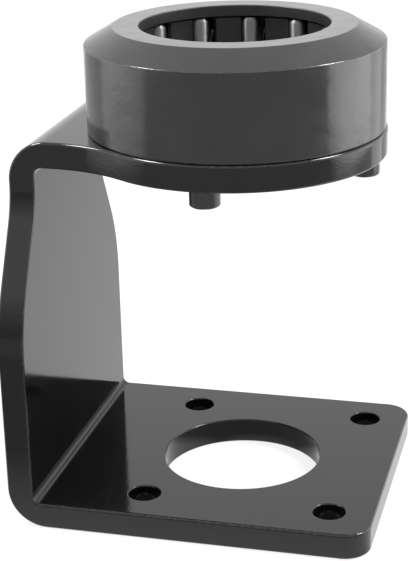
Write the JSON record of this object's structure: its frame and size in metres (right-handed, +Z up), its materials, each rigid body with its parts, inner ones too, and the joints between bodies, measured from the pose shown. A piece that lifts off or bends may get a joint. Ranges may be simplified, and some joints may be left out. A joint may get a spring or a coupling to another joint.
{
  "type": "tool holder assembly fixture",
  "caption": "Bench fixture with a bent plate bracket and a round roller clamping head that holds a tool holder's collar while its clamping nut is turned.",
  "frame": {"origin": "on the axis of the head and of the base hole, at the underside of the base", "axes": "+Z up along the head's axis, out of its top; +X from the web towards the free end of the base"},
  "size_m": [0.124, 0.1054, 0.1655],
  "materials": {
    "black_coating": "satin",
    "black_oxide": "satin",
    "roller_steel": "polished",
    "spring_steel": "satin",
    "screw_steel": "satin"
  },
  "bodies": {
    "frame": {"bracket": "black_coating", "housing": "black_oxide", "roller_cage": "black_oxide", "roller_spring_01": "spring_steel", "roller_spring_02": "spring_steel", "roller_spring_03": "spring_steel", "roller_spring_04": "spring_steel", "roller_spring_05": "spring_steel", "roller_spring_06": "spring_steel", "roller_spring_07": "spring_steel", "roller_spring_08": "spring_steel", "roller_spring_09": "spring_steel", "roller_spring_10": "spring_steel", "roller_spring_11": "spring_steel", "roller_spring_12": "spring_steel", "cap_screw_1": "screw_steel", "cap_screw_2": "screw_steel", "cap_screw_3": "screw_steel", "cap_screw_4": "screw_steel"},
    "roller_01_body": {"roller_01": "roller_steel"},
    "roller_02_body": {"roller_02": "roller_steel"},
    "roller_03_body": {"roller_03": "roller_steel"},
    "roller_04_body": {"roller_04": "roller_steel"},
    "roller_05_body": {"roller_05": "roller_steel"},
    "roller_06_body": {"roller_06": "roller_steel"},
    "roller_07_body": {"roller_07": "roller_steel"},
    "roller_08_body": {"roller_08": "roller_steel"},
    "roller_09_body": {"roller_09": "roller_steel"},
    "roller_10_body": {"roller_10": "roller_steel"},
    "roller_11_body": {"roller_11": "roller_steel"},
    "roller_12_body": {"roller_12": "roller_steel"}
  },
  "joints": [
    {"name": "roller_01_push_back", "type": "slide", "parent": "frame", "child": "roller_01_body", "axis": [0.284, -0.9588, 0], "range_m": [0, 0.001], "stiffness_N_per_m": 800, "deforming": ["roller_spring_01"]},
    {"name": "roller_02_push_back", "type": "slide", "parent": "frame", "child": "roller_02_body", "axis": [0.7254, -0.6884, 0], "range_m": [0, 0.001], "stiffness_N_per_m": 800, "deforming": ["roller_spring_02"]},
    {"name": "roller_03_push_back", "type": "slide", "parent": "frame", "child": "roller_03_body", "axis": [0.9724, -0.2334, 0], "range_m": [0, 0.001], "stiffness_N_per_m": 800, "deforming": ["roller_spring_03"]},
    {"name": "roller_04_push_back", "type": "slide", "parent": "frame", "child": "roller_04_body", "axis": [0.9588, 0.284, 0], "range_m": [0, 0.001], "stiffness_N_per_m": 800, "deforming": ["roller_spring_04"]},
    {"name": "roller_05_push_back", "type": "slide", "parent": "frame", "child": "roller_05_body", "axis": [0.6884, 0.7254, 0], "range_m": [0, 0.001], "stiffness_N_per_m": 800, "deforming": ["roller_spring_05"]},
    {"name": "roller_06_push_back", "type": "slide", "parent": "frame", "child": "roller_06_body", "axis": [0.2334, 0.9724, 0], "range_m": [0, 0.001], "stiffness_N_per_m": 800, "deforming": ["roller_spring_06"]},
    {"name": "roller_07_push_back", "type": "slide", "parent": "frame", "child": "roller_07_body", "axis": [-0.284, 0.9588, 0], "range_m": [0, 0.001], "stiffness_N_per_m": 800, "deforming": ["roller_spring_07"]},
    {"name": "roller_08_push_back", "type": "slide", "parent": "frame", "child": "roller_08_body", "axis": [-0.7254, 0.6884, 0], "range_m": [0, 0.001], "stiffness_N_per_m": 800, "deforming": ["roller_spring_08"]},
    {"name": "roller_09_push_back", "type": "slide", "parent": "frame", "child": "roller_09_body", "axis": [-0.9724, 0.2334, 0], "range_m": [0, 0.001], "stiffness_N_per_m": 800, "deforming": ["roller_spring_09"]},
    {"name": "roller_10_push_back", "type": "slide", "parent": "frame", "child": "roller_10_body", "axis": [-0.9588, -0.284, 0], "range_m": [0, 0.001], "stiffness_N_per_m": 800, "deforming": ["roller_spring_10"]},
    {"name": "roller_11_push_back", "type": "slide", "parent": "frame", "child": "roller_11_body", "axis": [-0.6884, -0.7254, 0], "range_m": [0, 0.001], "stiffness_N_per_m": 800, "deforming": ["roller_spring_11"]},
    {"name": "roller_12_push_back", "type": "slide", "parent": "frame", "child": "roller_12_body", "axis": [-0.2334, -0.9724, 0], "range_m": [0, 0.001], "stiffness_N_per_m": 800, "deforming": ["roller_spring_12"]}
  ],
  "couplings": [
    {"joint": "roller_02_push_back", "follows": "roller_01_push_back", "ratio": 1},
    {"joint": "roller_03_push_back", "follows": "roller_01_push_back", "ratio": 1},
    {"joint": "roller_04_push_back", "follows": "roller_01_push_back", "ratio": 1},
    {"joint": "roller_05_push_back", "follows": "roller_01_push_back", "ratio": 1},
    {"joint": "roller_06_push_back", "follows": "roller_01_push_back", "ratio": 1},
    {"joint": "roller_07_push_back", "follows": "roller_01_push_back", "ratio": 1},
    {"joint": "roller_08_push_back", "follows": "roller_01_push_back", "ratio": 1},
    {"joint": "roller_09_push_back", "follows": "roller_01_push_back", "ratio": 1},
    {"joint": "roller_10_push_back", "follows": "roller_01_push_back", "ratio": 1},
    {"joint": "roller_11_push_back", "follows": "roller_01_push_back", "ratio": 1},
    {"joint": "roller_12_push_back", "follows": "roller_01_push_back", "ratio": 1}
  ]
}
